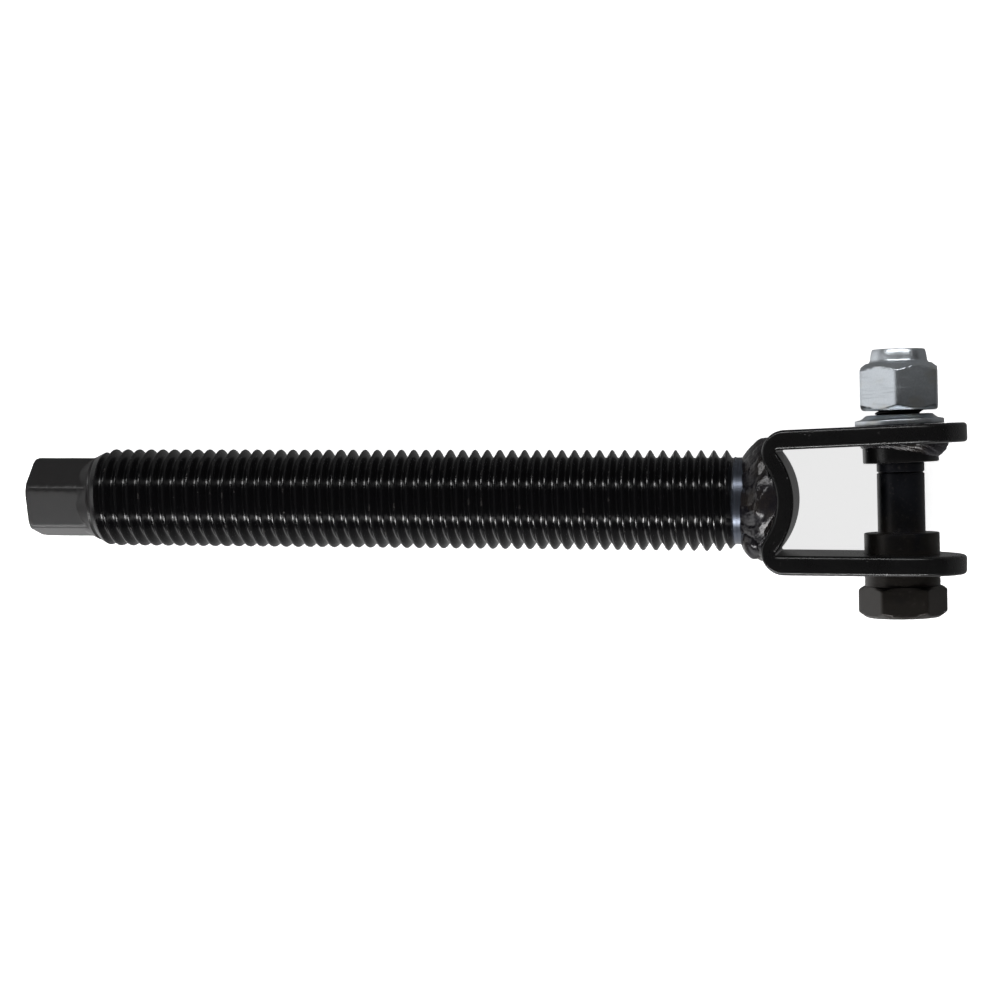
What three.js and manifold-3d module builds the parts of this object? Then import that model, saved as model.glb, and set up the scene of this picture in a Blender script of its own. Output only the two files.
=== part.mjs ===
// Threaded clevis end of a cargo bar, lying on its side. Millimetres, +Z up.
// +X runs along the screw from its hex drive end to the clevis, +Y across the clevis towards the bolt's nut.
// The origin is the centre of the hex drive's end face, on the screw's axis.

import * as THREE from 'three';
import { mergeVertices } from 'three/addons/utils/BufferGeometryUtils.js';
import Module from 'manifold-3d';

const wasm = await Module();
wasm.setup();

// Driving dimensions.
const GAP = 0.3; // clearance between touching pieces
const MERGE_DISTANCE = 1e-4;
const OVERCUT = 0.1; // how far a chamfer's cutting shape stands clear of what it leaves alone

// Screw: hex drive, coarse thread and plain neck.
const DRIVE_AF = 18.6;
const DRIVE_TURN = THREE.MathUtils.degToRad(16); // first corner, from +Y towards +Z
const DRIVE_END_CHAMFER = 0.5;
const SCREW_RADIUS = 12.55;
const SCREW_PITCH = 3.175;
const SCREW_THREAD_DEPTH = 1.95;
const THREAD_CONE_START = 13.2;
const THREAD_FULL_START = 20.3;
const THREAD_CONE_RADIUS = 9.1;
const THREAD_END = 182.2;
const THREAD_END_CHAMFER = 1.6;
const NECK_RADIUS = 10.75;
const SCREW_SIDES = 14;

// Yoke: flat bar bent to a U whose back bows into the mouth. The press has thinned the back a little.
const BAR_THICKNESS = 4.76;
const BAR_WIDTH = 31.75;
const MOUTH_WIDTH = 25.4;
const BOLT_X = 222.4;
const BACK_CENTRE_X = 177.8;
const BACK_INNER_RADIUS = 19.3;
const BEND_CENTRE_X = 195.0; // of the outer bends
const BEND_CENTRE_Y = 11.8;
const CORNER_RADIUS = 0.4; // inside, where an ear meets the back
const EAR_SPLAY = THREE.MathUtils.degToRad(2.6); // how far the upper ear stands open

// Cross bolt. It leans with the open ear, and its heights run along its own axis from the screw's axis.
const BOLT_LEAN = THREE.MathUtils.degToRad(1.4);
const HEAD_AF = 18.7;
const HEAD_TURN = THREE.MathUtils.degToRad(3); // flat's normal, from +Z towards +X
const HEAD_BOTTOM = -28.2;
const HEAD_TOP = -20.5;
const SHOULDER_RADIUS = 9.1;
const SHOULDER_TOP = -7.5;
const SHOULDER_CHAMFER = 0.5;
const SHANK_RADIUS = 5.75;
const BOLT_THREAD_RADIUS = 5.95;
const BOLT_PITCH = 1.75;
const BOLT_THREAD_DEPTH = 1.07;
const BOLT_THREAD_START = 10.2;
const GROOVE_BOTTOM = 7.0; // a thin groove round the shank
const GROOVE_TOP = 7.4;
const GROOVE_DEPTH = 0.3;
const BOLT_TOP = 35.6;
const BOLT_SIDES = 12;

// Ring welded under the upper ear.
const BOSS_RADIUS = 9.15;
const BOSS_LENGTH = 4.1;
const BOSS_CHAMFER = 0.6;
const CLEARANCE_HOLE_RADIUS = 6.5; // through the upper ear, the ring and the washer

// Conical washer, on the upper ear.
const WASHER_RADIUS = 10.75;
const WASHER_RIM = 1.1;
const WASHER_HEIGHT = 2.3;
const WASHER_DISH = 0.9;

// Lock nut, backed off from the washer. Its collar is crimped inwards.
const NUT_AF = 18.4;
const NUT_TURN = THREE.MathUtils.degToRad(-2); // one corner, from +Z towards +X
const NUT_BOTTOM = 22.3;
const NUT_HEX_TOP = 33.8;
const NUT_TOP = 37.2;
const NUT_BORE_RADIUS = 6.25;
const NUT_CHAMFER = 1.1;
const NUT_TOP_CHAMFER = 1.8;
const COLLAR_BASE_RADIUS = 6.95;
const COLLAR_NECK_RADIUS = 6.75;
const COLLAR_RIM_RADIUS = 6.5;

// Weld round the neck: the bead's [distance from its start, radius], and its lobes.
const BEAD_START = 184.6;
const BEAD_WANDER = 0.4;
const BEAD_PROFILE = [[0, 11.25], [1.6, 12.6], [3.6, 14.3], [5.8, 15.2]];
const BEAD_END_RADIUS = 15.3;
const LUMP_CENTRE = new THREE.Vector3(187.2, -9.6, 6.4);
const LUMP_HALF = new THREE.Vector3(3.1, 4.6, 5.0);

// Fillet weld round the ring: its smallest legs along the ear and up the ring, and what the outer side adds.
const FILLET_REACH = 0.4;
const FILLET_REACH_ADDED = 1.8;
const FILLET_RISE = 0.5;
const FILLET_RISE_ADDED = 2.6;

// Derived sizes.
const EAR_INNER = MOUTH_WIDTH / 2;
const EAR_OUTER = EAR_INNER + BAR_THICKNESS;
const BEND_RADIUS = EAR_OUTER - BEND_CENTRE_Y;
const BEND_TO_BACK = BEND_CENTRE_X - BACK_CENTRE_X;
const BEND_ANGLE = Math.atan2(BEND_CENTRE_Y, BEND_TO_BACK);
const BACK_OUTER_RADIUS = Math.hypot(BEND_TO_BACK, BEND_CENTRE_Y) - BEND_RADIUS;
const BACK_OUTER_PEAK_X = BACK_CENTRE_X + BACK_OUTER_RADIUS;
const EAR_LIFT = EAR_INNER - BEND_CENTRE_Y; // from a bend's centre out to the ear's inner face
const HEAD_CORNER_RADIUS = HEAD_AF / Math.sqrt(3);
const NUT_CORNER_RADIUS = NUT_AF / Math.sqrt(3);
const DRIVE_CORNER_RADIUS = DRIVE_AF / Math.sqrt(3);

// Height on the bolt where its axis crosses the middle of the upper ear.
const EAR_MIDDLE = EAR_LIFT + BAR_THICKNESS / 2;
const EAR_RISE = BEND_CENTRE_Y * Math.cos(EAR_SPLAY) + (BOLT_X - BEND_CENTRE_X) * Math.sin(EAR_SPLAY);
const EAR_CROSSING = (EAR_MIDDLE + EAR_RISE) / Math.cos(EAR_SPLAY - BOLT_LEAN);
const EAR_SEAT = BAR_THICKNESS / 2 + GAP; // from the ear's middle to what rests on it

// Finishes: colour, roughness, metalness.
const BLACK_OXIDE = { color: 0x141416, roughness: 0.3, metalness: 0.8 };
const BLACK_PAINT = { color: 0x111112, roughness: 0.38, metalness: 0.3 };
const PAINTED_WELD = { color: 0x26221f, roughness: 0.55, metalness: 0.3 };
const BOLT_FINISH = { color: 0x1c1b1c, roughness: 0.45, metalness: 0.7 };
const ZINC = { color: 0xb4bdc4, roughness: 0.3, metalness: 1.0 };

// Turns a closed three.js geometry into a solid that can be joined and cut.
function solid(geometry) {
  const bare = new THREE.BufferGeometry();
  bare.setAttribute('position', geometry.getAttribute('position'));
  bare.setIndex(geometry.getIndex());
  const merged = mergeVertices(bare, MERGE_DISTANCE);
  const corners = merged.getIndex().array;
  const kept = [];
  for (let i = 0; i < corners.length; i += 3) {
    const [a, b, c] = [corners[i], corners[i + 1], corners[i + 2]];
    if (a !== b && b !== c && c !== a) kept.push(a, b, c);
  }
  return new wasm.Manifold(new wasm.Mesh({
    numProp: 3,
    vertProperties: new Float32Array(merged.getAttribute('position').array),
    triVerts: new Uint32Array(kept),
  }));
}

// Gives the finished solid a name and a finish.
function piece(name, body, finish) {
  const { vertProperties, triVerts } = body.getMesh();
  const geometry = new THREE.BufferGeometry();
  geometry.setAttribute('position', new THREE.BufferAttribute(vertProperties, 3));
  geometry.setIndex(new THREE.BufferAttribute(triVerts, 1));
  const mesh = new THREE.Mesh(geometry, new THREE.MeshStandardMaterial(finish));
  mesh.name = name;
  return mesh;
}

// A turned solid about +Y. The profile is a list of [radius, height], upwards on its outer side.
function turned(profile, sides = 36) {
  const points = profile.map(([radius, height]) => new THREE.Vector2(radius, height));
  return new THREE.LatheGeometry(points, sides);
}

// The same profile turned about +X, where height runs along the screw.
function turnedAlongX(profile, sides) {
  return turned(profile, sides).rotateZ(-Math.PI / 2);
}

// A hexagonal bar along +Z from zero, with one corner on the +X axis.
function hexBar(acrossFlats, length) {
  const centre = new THREE.Vector2();
  const firstCorner = new THREE.Vector2(acrossFlats / Math.sqrt(3), 0);
  const corners = [];
  for (let i = 0; i < 6; i += 1) {
    corners.push(firstCorner.clone().rotateAround(centre, (i * Math.PI) / 3));
  }
  return new THREE.ExtrudeGeometry(new THREE.Shape(corners), { depth: length, bevelEnabled: false });
}

// A hexagonal bar along +Y between two heights, with one corner turned from +Z towards +X.
function uprightHex(acrossFlats, bottom, top, cornerAngle) {
  return hexBar(acrossFlats, top - bottom)
    .rotateX(-Math.PI / 2)
    .rotateY(cornerAngle - Math.PI / 2)
    .translate(0, bottom, 0);
}

// A right-hand thread along +X. Each pitch has a root line and a narrow flat crest.
function threadBar(radius, depth, pitch, start, end, sides) {
  const crestHalf = 1 / 16;
  const profile = [[0, radius - depth], [0.5 - crestHalf, radius], [0.5 + crestHalf, radius]];
  const steps = Math.ceil((end - start) / pitch) * sides;
  const positions = [];
  const corner = (k, j) => (j < profile.length ? k * profile.length + j : (k + sides) * profile.length);
  for (let k = 0; k <= steps + sides; k += 1) {
    const angle = (2 * Math.PI * k) / sides;
    for (const [share, r] of profile) {
      positions.push(start + pitch * (k / sides + share), r * Math.cos(angle), r * Math.sin(angle));
    }
  }
  const startCentre = positions.length / 3;
  positions.push(start + pitch / 2, 0, 0);
  positions.push(start + pitch * (steps / sides + 0.5), 0, 0);
  const endCentre = startCentre + 1;
  const faces = [];
  for (let k = 0; k < steps; k += 1) {
    for (let j = 0; j < profile.length; j += 1) {
      faces.push(corner(k, j), corner(k + 1, j), corner(k + 1, j + 1));
      faces.push(corner(k, j), corner(k + 1, j + 1), corner(k, j + 1));
    }
  }
  for (let k = 0; k < sides; k += 1) {
    faces.push(startCentre, corner(k + 1, 0), corner(k, 0));
    faces.push(endCentre, corner(steps + k, 0), corner(steps + k + 1, 0));
  }
  for (let j = 0; j < profile.length; j += 1) {
    faces.push(startCentre, corner(0, j), corner(0, j + 1));
    faces.push(endCentre, corner(steps, j + 1), corner(steps, j));
  }
  const geometry = new THREE.BufferGeometry();
  geometry.setAttribute('position', new THREE.Float32BufferAttribute(positions, 3));
  geometry.setIndex(faces);
  return geometry;
}

// A closed ring about +Y whose section, a list of [radius, height], changes with the angle from +Z to +X.
function weldRing(steps, sectionAt) {
  const positions = [];
  const faces = [];
  const count = sectionAt(0).length;
  for (let k = 0; k < steps; k += 1) {
    const angle = (2 * Math.PI * k) / steps;
    for (const [radius, height] of sectionAt(angle)) {
      positions.push(radius * Math.sin(angle), height, radius * Math.cos(angle));
    }
    for (let j = 0; j < count; j += 1) {
      const here = k * count;
      const next = ((k + 1) % steps) * count;
      const after = (j + 1) % count;
      faces.push(here + j, next + j, next + after);
      faces.push(here + j, next + after, here + after);
    }
  }
  const geometry = new THREE.BufferGeometry();
  geometry.setAttribute('position', new THREE.Float32BufferAttribute(positions, 3));
  geometry.setIndex(faces);
  return geometry;
}

// Centre of an inside corner, which touches the back's arc and the inner face of an ear turned by `splay`.
function cornerCentre(splay) {
  const earX = BEND_TO_BACK * Math.cos(splay) + BEND_CENTRE_Y * Math.sin(splay);
  const earY = BEND_CENTRE_Y * Math.cos(splay) - BEND_TO_BACK * Math.sin(splay);
  const out = EAR_LIFT - CORNER_RADIUS;
  const along = Math.sqrt((BACK_INNER_RADIUS + CORNER_RADIUS) ** 2 - (earY + out) ** 2) - earX;
  return new THREE.Vector2(
    BEND_CENTRE_X + along * Math.cos(splay) - out * Math.sin(splay),
    BEND_CENTRE_Y + along * Math.sin(splay) + out * Math.cos(splay),
  );
}

// The yoke's bent bar, seen along Z. A grown outline is thicker by `grow` on every side.
function yokeOutline(grow) {
  const bend = BEND_RADIUS + grow;
  const corner = CORNER_RADIUS - grow;
  const outerBack = BACK_OUTER_RADIUS - grow;
  const innerBack = BACK_INNER_RADIUS + grow;
  const tip = BOLT_X + BAR_WIDTH;
  const upperNormal = Math.PI / 2 + EAR_SPLAY;
  const onUpperEar = (along, out) => [
    BEND_CENTRE_X + along * Math.cos(EAR_SPLAY) - out * Math.sin(EAR_SPLAY),
    BEND_CENTRE_Y + along * Math.sin(EAR_SPLAY) + out * Math.cos(EAR_SPLAY),
  ];
  const upperCorner = cornerCentre(EAR_SPLAY);
  const lowerCorner = cornerCentre(0);
  const upperAngle = Math.atan2(upperCorner.y, upperCorner.x - BACK_CENTRE_X);
  const lowerAngle = Math.atan2(lowerCorner.y, lowerCorner.x - BACK_CENTRE_X);
  const outline = new THREE.Shape();
  outline.moveTo(...onUpperEar(tip - BEND_CENTRE_X, bend));
  outline.lineTo(...onUpperEar(0, bend));
  outline.absarc(BEND_CENTRE_X, BEND_CENTRE_Y, bend, upperNormal, Math.PI + BEND_ANGLE, false);
  outline.absarc(BACK_CENTRE_X, 0, outerBack, BEND_ANGLE, -BEND_ANGLE, true);
  outline.absarc(BEND_CENTRE_X, -BEND_CENTRE_Y, bend, Math.PI - BEND_ANGLE, 1.5 * Math.PI, false);
  outline.lineTo(tip, -EAR_OUTER - grow);
  outline.lineTo(tip, -EAR_INNER + grow);
  outline.absarc(lowerCorner.x, -lowerCorner.y, corner, 1.5 * Math.PI, Math.PI - lowerAngle, true);
  outline.absarc(BACK_CENTRE_X, 0, innerBack, -lowerAngle, upperAngle, false);
  outline.absarc(upperCorner.x, upperCorner.y, corner, Math.PI + upperAngle, upperNormal, true);
  outline.lineTo(...onUpperEar(tip - BEND_CENTRE_X, EAR_LIFT - grow));
  return outline;
}

function yokeBar(grow, width) {
  const settings = { depth: width, bevelEnabled: false, curveSegments: 9 };
  const bar = new THREE.ExtrudeGeometry(yokeOutline(grow), settings);
  return solid(bar.translate(0, 0, -width / 2));
}

// Seen along the bolt, both ears end in a half circle about the bolt's axis.
function earPlan() {
  const half = BAR_WIDTH / 2;
  const outline = new THREE.Shape();
  outline.moveTo(THREAD_END, -half);
  outline.lineTo(BOLT_X, -half);
  outline.absarc(BOLT_X, 0, half, -Math.PI / 2, Math.PI / 2, false);
  outline.lineTo(THREAD_END, half);
  const height = 2 * MOUTH_WIDTH;
  const plan = new THREE.ExtrudeGeometry(outline, { depth: height, bevelEnabled: false, curveSegments: 24 });
  return solid(plan.rotateX(-Math.PI / 2).translate(0, -height / 2, 0));
}

function clevisYoke() {
  const hole = (radius, side) => solid(
    new THREE.CylinderGeometry(radius, radius, MOUTH_WIDTH, 32)
      .translate(0, (side * MOUTH_WIDTH) / 2, 0)
      .rotateZ(BOLT_LEAN)
      .translate(BOLT_X, 0, 0),
  );
  return yokeBar(0, BAR_WIDTH)
    .intersect(earPlan())
    .subtract(hole(SHOULDER_RADIUS + GAP, -1))
    .subtract(hole(CLEARANCE_HOLE_RADIUS, 1));
}

function adjustingScrew() {
  const cutStart = THREAD_CONE_START - 2 * SCREW_PITCH;
  const cutEnd = THREAD_END + SCREW_PITCH;
  const thread = solid(threadBar(
    SCREW_RADIUS, SCREW_THREAD_DEPTH, SCREW_PITCH, cutStart, cutEnd, SCREW_SIDES,
  ));
  const envelope = solid(turnedAlongX([
    [0, THREAD_CONE_START],
    [THREAD_CONE_RADIUS, THREAD_CONE_START],
    [SCREW_RADIUS + OVERCUT, THREAD_FULL_START],
    [SCREW_RADIUS + OVERCUT, THREAD_END - THREAD_END_CHAMFER],
    [NECK_RADIUS, THREAD_END],
    [0, THREAD_END],
  ]));
  const driveEnvelope = solid(turnedAlongX([
    [0, 0],
    [DRIVE_CORNER_RADIUS - DRIVE_END_CHAMFER, 0],
    [DRIVE_CORNER_RADIUS + DRIVE_END_CHAMFER, 2 * DRIVE_END_CHAMFER],
    [SCREW_RADIUS, THREAD_FULL_START],
    [0, THREAD_FULL_START],
  ]));
  const drive = solid(
    hexBar(DRIVE_AF, THREAD_FULL_START).rotateX(-Math.PI / 2).rotateZ(-Math.PI / 2).rotateX(DRIVE_TURN),
  ).intersect(driveEnvelope);
  const neck = solid(turnedAlongX([
    [0, THREAD_END - SCREW_PITCH],
    [NECK_RADIUS - SCREW_THREAD_DEPTH, THREAD_END - SCREW_PITCH],
    [NECK_RADIUS, THREAD_END - THREAD_END_CHAMFER],
    [NECK_RADIUS, BACK_OUTER_PEAK_X],
    [0, BACK_OUTER_PEAK_X],
  ], SCREW_SIDES * 2)).subtract(yokeBar(GAP, 2 * BAR_WIDTH));
  return thread.intersect(envelope).add(drive).add(neck);
}

// The lump as it was laid, before the neck and the yoke take their share. Grown, it cuts the main bead.
function weldLumpBall(grow) {
  const { x, y, z } = LUMP_HALF;
  return solid(
    new THREE.SphereGeometry(1, 18, 12)
      .scale(x + grow, y + grow, z + grow)
      .translate(LUMP_CENTRE.x, LUMP_CENTRE.y, LUMP_CENTRE.z),
  );
}

function neckClearance() {
  const radius = NECK_RADIUS + GAP;
  const length = 3 * BAR_WIDTH;
  const bar = new THREE.CylinderGeometry(radius, radius, length, 32);
  return solid(bar.rotateZ(-Math.PI / 2).translate(THREAD_END, 0, 0));
}

// The bead is a rough cone from the neck out to the yoke's back, with soft lobes round it.
function neckWeld() {
  const core = NECK_RADIUS - 1;
  const end = BACK_OUTER_PEAK_X;
  const cone = weldRing(32, (angle) => {
    const lobe = 0.3 * Math.sin(5 * angle + 0.6) + 0.2 * Math.sin(8 * angle + 2);
    const start = BEAD_START + BEAD_WANDER * Math.sin(3 * angle);
    const surface = BEAD_PROFILE.map(([along, radius]) => [radius + lobe, start + along]);
    return [[core, start], ...surface, [BEAD_END_RADIUS + lobe, end], [core, end]];
  }).rotateZ(-Math.PI / 2);
  return solid(cone)
    .subtract(neckClearance())
    .subtract(yokeBar(GAP, 2 * BAR_WIDTH))
    .subtract(weldLumpBall(GAP));
}

function neckWeldLump() {
  return weldLumpBall(0).subtract(neckClearance()).subtract(yokeBar(GAP, 2 * BAR_WIDTH));
}

function shoulderBolt() {
  const rootRadius = BOLT_THREAD_RADIUS - BOLT_THREAD_DEPTH;
  const head = solid(uprightHex(HEAD_AF, HEAD_BOTTOM, HEAD_TOP, HEAD_TURN + Math.PI / 6));
  const headEnvelope = solid(turned([
    [0, HEAD_BOTTOM],
    [HEAD_CORNER_RADIUS - 2.0, HEAD_BOTTOM],
    [HEAD_CORNER_RADIUS + OVERCUT, HEAD_BOTTOM + 1.3],
    [HEAD_CORNER_RADIUS + OVERCUT, HEAD_TOP - 0.7],
    [HEAD_CORNER_RADIUS - 1.2, HEAD_TOP],
    [0, HEAD_TOP],
  ]));
  const body = solid(turned([
    [0, HEAD_TOP - 1],
    [SHOULDER_RADIUS, HEAD_TOP - 1],
    [SHOULDER_RADIUS, SHOULDER_TOP - SHOULDER_CHAMFER],
    [SHOULDER_RADIUS - SHOULDER_CHAMFER, SHOULDER_TOP],
    [SHANK_RADIUS, SHOULDER_TOP],
    [SHANK_RADIUS, GROOVE_BOTTOM],
    [SHANK_RADIUS - GROOVE_DEPTH, GROOVE_BOTTOM],
    [SHANK_RADIUS - GROOVE_DEPTH, GROOVE_TOP],
    [SHANK_RADIUS, GROOVE_TOP],
    [SHANK_RADIUS, BOLT_THREAD_START - 0.6],
    [rootRadius, BOLT_THREAD_START],
    [rootRadius, BOLT_THREAD_START + BOLT_PITCH],
    [0, BOLT_THREAD_START + BOLT_PITCH],
  ]));
  const thread = solid(threadBar(
    BOLT_THREAD_RADIUS, BOLT_THREAD_DEPTH, BOLT_PITCH, BOLT_THREAD_START - BOLT_PITCH, BOLT_TOP + BOLT_PITCH,
    BOLT_SIDES,
  ).rotateZ(Math.PI / 2));
  const threadEnvelope = solid(turned([
    [0, BOLT_THREAD_START],
    [rootRadius, BOLT_THREAD_START],
    [BOLT_THREAD_RADIUS + OVERCUT, BOLT_THREAD_START + 0.8],
    [BOLT_THREAD_RADIUS + OVERCUT, BOLT_TOP - 1.4],
    [rootRadius - 0.3, BOLT_TOP],
    [0, BOLT_TOP],
  ]));
  return head.intersect(headEnvelope).add(body).add(thread.intersect(threadEnvelope));
}

// The ring, its weld and the washer are made about the upper ear's normal, from the middle of the bar.
function earBoss() {
  const bottom = -EAR_SEAT - BOSS_LENGTH;
  return solid(turned([
    [CLEARANCE_HOLE_RADIUS, -EAR_SEAT],
    [CLEARANCE_HOLE_RADIUS, bottom],
    [BOSS_RADIUS - BOSS_CHAMFER, bottom],
    [BOSS_RADIUS, bottom + BOSS_CHAMFER],
    [BOSS_RADIUS, -EAR_SEAT],
    [CLEARANCE_HOLE_RADIUS, -EAR_SEAT],
  ]));
}

// A fillet that is heavy on the ear's tip side and thin on the side of the screw.
function earBossWeld() {
  const root = BOSS_RADIUS + GAP;
  const seat = -EAR_SEAT;
  return solid(weldRing(30, (angle) => {
    const share = (0.5 + 0.5 * Math.sin(angle + 0.5)) ** 2;
    const ripple = 0.1 * share * Math.sin(7 * angle);
    const reach = FILLET_REACH + FILLET_REACH_ADDED * share + ripple;
    const rise = FILLET_RISE + FILLET_RISE_ADDED * share + ripple;
    return [
      [root, seat],
      [root, seat - rise],
      [root + 0.45 * reach, seat - 0.75 * rise],
      [root + 0.85 * reach, seat - 0.4 * rise],
      [root + reach, seat],
    ];
  }));
}

function conicalWasher() {
  return solid(turned([
    [CLEARANCE_HOLE_RADIUS, EAR_SEAT + WASHER_HEIGHT],
    [CLEARANCE_HOLE_RADIUS, EAR_SEAT + WASHER_DISH],
    [WASHER_RADIUS - 0.8, EAR_SEAT],
    [WASHER_RADIUS, EAR_SEAT],
    [WASHER_RADIUS, EAR_SEAT + WASHER_RIM],
    [WASHER_RADIUS - 1.6, EAR_SEAT + WASHER_RIM + 0.4],
    [WASHER_RADIUS - 2.8, EAR_SEAT + WASHER_HEIGHT],
    [CLEARANCE_HOLE_RADIUS, EAR_SEAT + WASHER_HEIGHT],
  ]));
}

function lockNut() {
  const hex = solid(uprightHex(NUT_AF, NUT_BOTTOM, NUT_HEX_TOP, NUT_TURN));
  const hexEnvelope = solid(turned([
    [0, NUT_BOTTOM],
    [NUT_CORNER_RADIUS - 1.8, NUT_BOTTOM],
    [NUT_CORNER_RADIUS + OVERCUT, NUT_BOTTOM + NUT_CHAMFER],
    [NUT_CORNER_RADIUS + OVERCUT, NUT_HEX_TOP - NUT_TOP_CHAMFER],
    [NUT_CORNER_RADIUS - 2.6, NUT_HEX_TOP],
    [0, NUT_HEX_TOP],
  ]));
  const collar = solid(turned([
    [0, NUT_HEX_TOP - 1],
    [COLLAR_BASE_RADIUS, NUT_HEX_TOP - 1],
    [COLLAR_BASE_RADIUS, NUT_HEX_TOP + 0.6],
    [COLLAR_NECK_RADIUS, NUT_TOP - 0.7],
    [COLLAR_RIM_RADIUS, NUT_TOP],
    [0, NUT_TOP],
  ]));
  const bore = solid(new THREE.CylinderGeometry(NUT_BORE_RADIUS, NUT_BORE_RADIUS, 2 * NUT_TOP, 36));
  return hex.intersect(hexEnvelope).add(collar).subtract(bore);
}

const screwAndYoke = new THREE.Group();
screwAndYoke.add(
  piece('adjusting_screw', adjustingScrew(), BLACK_OXIDE),
  piece('clevis_yoke', clevisYoke(), BLACK_PAINT),
  piece('neck_weld', neckWeld(), PAINTED_WELD),
  piece('neck_weld_lump', neckWeldLump(), PAINTED_WELD),
);

// The bolt and its nut share the leaning axis.
const onTheBolt = new THREE.Group();
onTheBolt.position.set(BOLT_X, 0, 0);
onTheBolt.rotation.z = BOLT_LEAN;
onTheBolt.add(
  piece('shoulder_bolt', shoulderBolt(), BOLT_FINISH),
  piece('lock_nut', lockNut(), ZINC),
);

const onTheUpperEar = new THREE.Group();
onTheUpperEar.position.x = BOLT_X - EAR_CROSSING * Math.sin(BOLT_LEAN);
onTheUpperEar.position.y = EAR_CROSSING * Math.cos(BOLT_LEAN);
onTheUpperEar.rotation.z = EAR_SPLAY;
onTheUpperEar.add(
  piece('ear_boss', earBoss(), BLACK_PAINT),
  piece('ear_boss_weld', earBossWeld(), PAINTED_WELD),
  piece('conical_washer', conicalWasher(), ZINC),
);

const clevisEnd = new THREE.Group();
clevisEnd.add(screwAndYoke, onTheBolt, onTheUpperEar);

export default clevisEnd;
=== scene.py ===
# %% [markdown]
# # The clevis end of a cargo bar
#
# This is the adjustable end of a bar that braces cargo in a truck bed. A long screw has a hex drive at one
# end. At the other end a bent flat bar, the clevis yoke, is welded on, and a shoulder bolt goes across its
# two ears. The lesson follows the way the real thing is made: bars are turned, threads and flats are cut
# into them, the flat bar is punched and then bent, and the weld is laid last.
#
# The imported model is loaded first. It fixes where everything is, and each new piece stands in for one of
# its nodes.

# %% Load the frame
import math

import bmesh
import bpy
import numpy as np
from mathutils import Matrix, Vector


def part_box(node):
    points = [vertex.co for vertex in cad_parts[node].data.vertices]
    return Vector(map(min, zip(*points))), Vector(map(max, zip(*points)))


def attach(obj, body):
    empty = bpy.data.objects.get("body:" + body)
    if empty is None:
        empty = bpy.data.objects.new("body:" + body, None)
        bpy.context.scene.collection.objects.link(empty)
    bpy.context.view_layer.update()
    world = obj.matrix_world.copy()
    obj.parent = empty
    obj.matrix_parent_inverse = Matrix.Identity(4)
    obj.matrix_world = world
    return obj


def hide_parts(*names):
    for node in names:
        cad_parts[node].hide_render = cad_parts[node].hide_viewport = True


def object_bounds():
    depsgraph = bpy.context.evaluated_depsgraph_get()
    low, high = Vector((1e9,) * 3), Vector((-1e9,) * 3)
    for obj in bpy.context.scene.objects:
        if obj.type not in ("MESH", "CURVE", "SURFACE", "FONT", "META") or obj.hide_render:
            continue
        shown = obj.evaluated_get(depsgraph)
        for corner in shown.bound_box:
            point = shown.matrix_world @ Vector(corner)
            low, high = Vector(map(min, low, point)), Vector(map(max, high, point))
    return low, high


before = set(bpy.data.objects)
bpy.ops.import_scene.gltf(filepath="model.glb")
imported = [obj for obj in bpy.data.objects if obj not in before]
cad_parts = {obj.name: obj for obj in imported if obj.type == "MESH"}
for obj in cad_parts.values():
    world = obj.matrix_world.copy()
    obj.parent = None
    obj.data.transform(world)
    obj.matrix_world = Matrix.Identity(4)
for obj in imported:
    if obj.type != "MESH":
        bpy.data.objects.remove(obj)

CAD_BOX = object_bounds()
MM = 0.001
TAU = 2 * math.pi
print("model box, mm:", [[round(value / MM, 1) for value in corner] for corner in CAD_BOX])

# %% [markdown]
# ## Node arithmetic
#
# Finishes and cutters are both built from nodes. Written out node by node, a formula disappears in a long
# list of links. Here a small class wraps one output socket, so `1 - mask * 0.5` adds the Math nodes by
# itself. Everything that isn't arithmetic on plain values comes from one method, `Bench.node`.

# %% A bench for building node trees
class Value:
    """One output socket. A sum or product with it adds a Math node to its tree."""

    def __init__(self, bench, socket):
        self.bench = bench
        self.socket = socket

    def also(self, name):
        """Another output of the same node."""
        return Value(self.bench, self.socket.node.outputs[name])

    def __add__(self, other):
        return self.bench.math("ADD", self, other)

    def __radd__(self, other):
        return self.bench.math("ADD", other, self)

    def __sub__(self, other):
        return self.bench.math("SUBTRACT", self, other)

    def __rsub__(self, other):
        return self.bench.math("SUBTRACT", other, self)

    def __mul__(self, other):
        return self.bench.math("MULTIPLY", self, other)

    def __rmul__(self, other):
        return self.bench.math("MULTIPLY", other, self)

    def __truediv__(self, other):
        return self.bench.math("DIVIDE", self, other)

    def __rtruediv__(self, other):
        return self.bench.math("DIVIDE", other, self)

    def __pow__(self, other):
        return self.bench.math("POWER", self, other)


class Bench:
    """Adds nodes to one tree."""

    def __init__(self, tree):
        self.tree = tree

    def node(self, kind, settings=None, inputs=None, output=0):
        """A node of that type. Its settings come first, then its sockets take values or links."""
        node = self.tree.nodes.new(kind)
        for name, value in (settings or {}).items():
            if name == "stops":
                self.set_stops(node.color_ramp, value)
            else:
                setattr(node, name, value)
        for key, value in (inputs or {}).items():
            if isinstance(value, Value):
                self.tree.links.new(value.socket, node.inputs[key])
            else:
                node.inputs[key].default_value = value
        return Value(self, node.outputs[output]) if len(node.outputs) else None

    def set_stops(self, ramp, stops):
        """Stops are (position, colour) from left to right, and a ramp starts with two."""
        for _ in stops[2:]:
            ramp.elements.new(0.5)
        for element, (position, colour) in zip(ramp.elements, stops):
            element.position = position
            element.color = colour

    def math(self, operation, *values):
        return self.node("ShaderNodeMath", {"operation": operation}, dict(enumerate(values)))

    def step(self, value, start, end):
        """Rises smoothly from 0 at start to 1 at end."""
        reach = {"Value": value, "From Min": start, "From Max": end}
        return self.node("ShaderNodeMapRange", {"interpolation_type": "SMOOTHSTEP"}, reach)


print("bench ready")

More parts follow.
